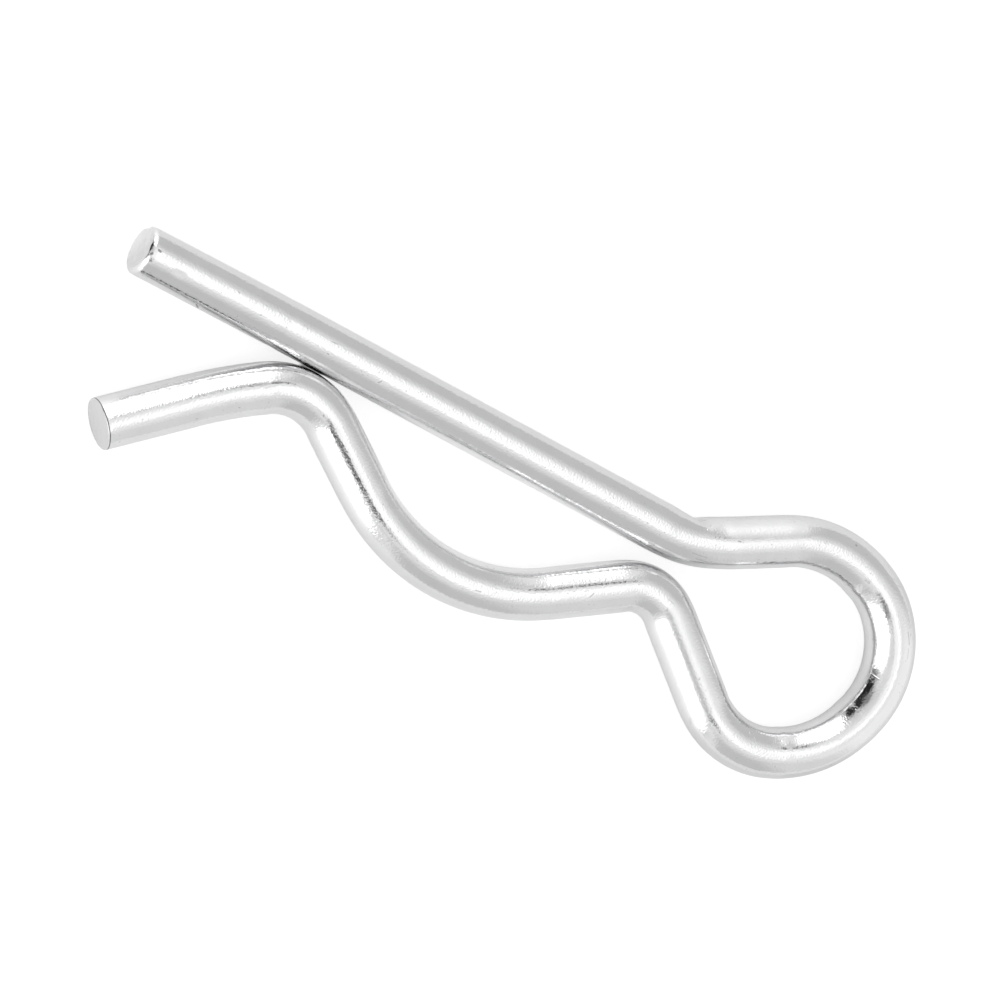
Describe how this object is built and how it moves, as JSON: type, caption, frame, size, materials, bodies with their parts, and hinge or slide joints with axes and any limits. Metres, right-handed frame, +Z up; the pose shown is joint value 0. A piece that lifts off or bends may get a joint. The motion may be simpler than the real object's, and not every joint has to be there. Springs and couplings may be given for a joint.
{
  "type": "hitch r clip pin",
  "caption": "Bright round-wire R clip: a straight leg goes through a shaft's cross hole, a wavy spring leg grips round the shaft, and an open eye pulls it out.",
  "frame": {"origin": "centre of the clip's outline on the surface that it lies flat on", "axes": "+X along the straight leg from its free end to the eye, -Y from the straight leg to the spring leg, +Z up out of the clip's flat side"},
  "size_m": [0.0726, 0.0212, 0.004],
  "materials": {
    "plated_wire": "bright zinc plating on drawn spring wire, with fine drawing lines and small pits"
  },
  "bodies": {
    "root": {"r_clip": "plated_wire"}
  },
  "joints": []
}
